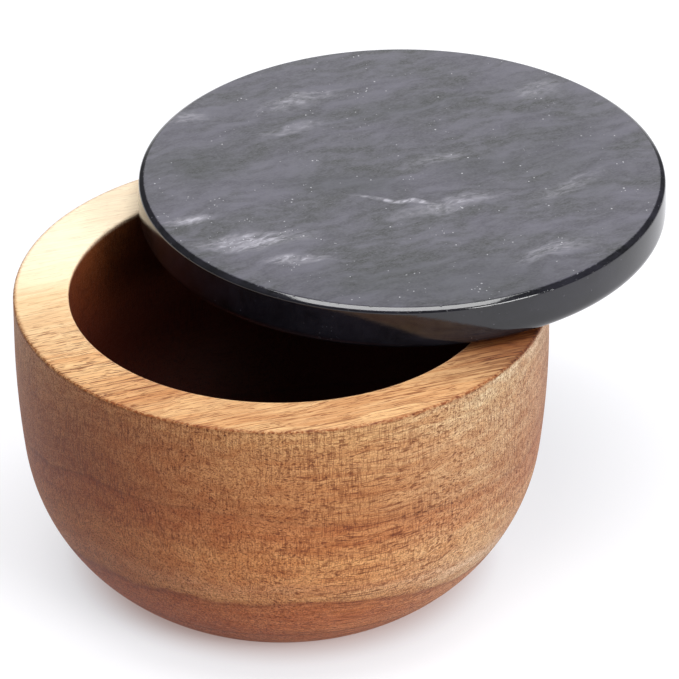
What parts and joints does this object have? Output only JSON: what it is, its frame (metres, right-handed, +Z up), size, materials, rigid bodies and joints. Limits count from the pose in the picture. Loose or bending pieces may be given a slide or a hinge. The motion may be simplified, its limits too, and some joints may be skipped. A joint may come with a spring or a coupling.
{
  "type": "salt box with swivelling lid",
  "caption": "Round turned wooden salt box with a rounded belly and a flat stone lid that swings aside on an upright pin in the rim.",
  "frame": {"origin": "on the bowl's axis, in the plane of its flat foot", "axes": "+Z up along the bowl's axis, +Y to the back, through the pivot of the lid; at rest the lid stands 46 degrees open, towards +X"},
  "size_m": [0.1455, 0.1251, 0.0733],
  "materials": {
    "acacia": "oiled, fine open grain",
    "marble": "polished, with pale veins",
    "steel": "ground",
    "brass": "turned"
  },
  "bodies": {
    "base": {"bowl": "acacia", "pivot_bush": "brass"},
    "cover": {"lid": "marble", "pivot_pin": "steel"}
  },
  "joints": [
    {"name": "lid_swivel", "type": "hinge", "parent": "base", "child": "cover", "pos_m": [0, 0.0493, 0.063], "axis": [0, 0, 1], "range_deg": [-46, 134]}
  ]
}
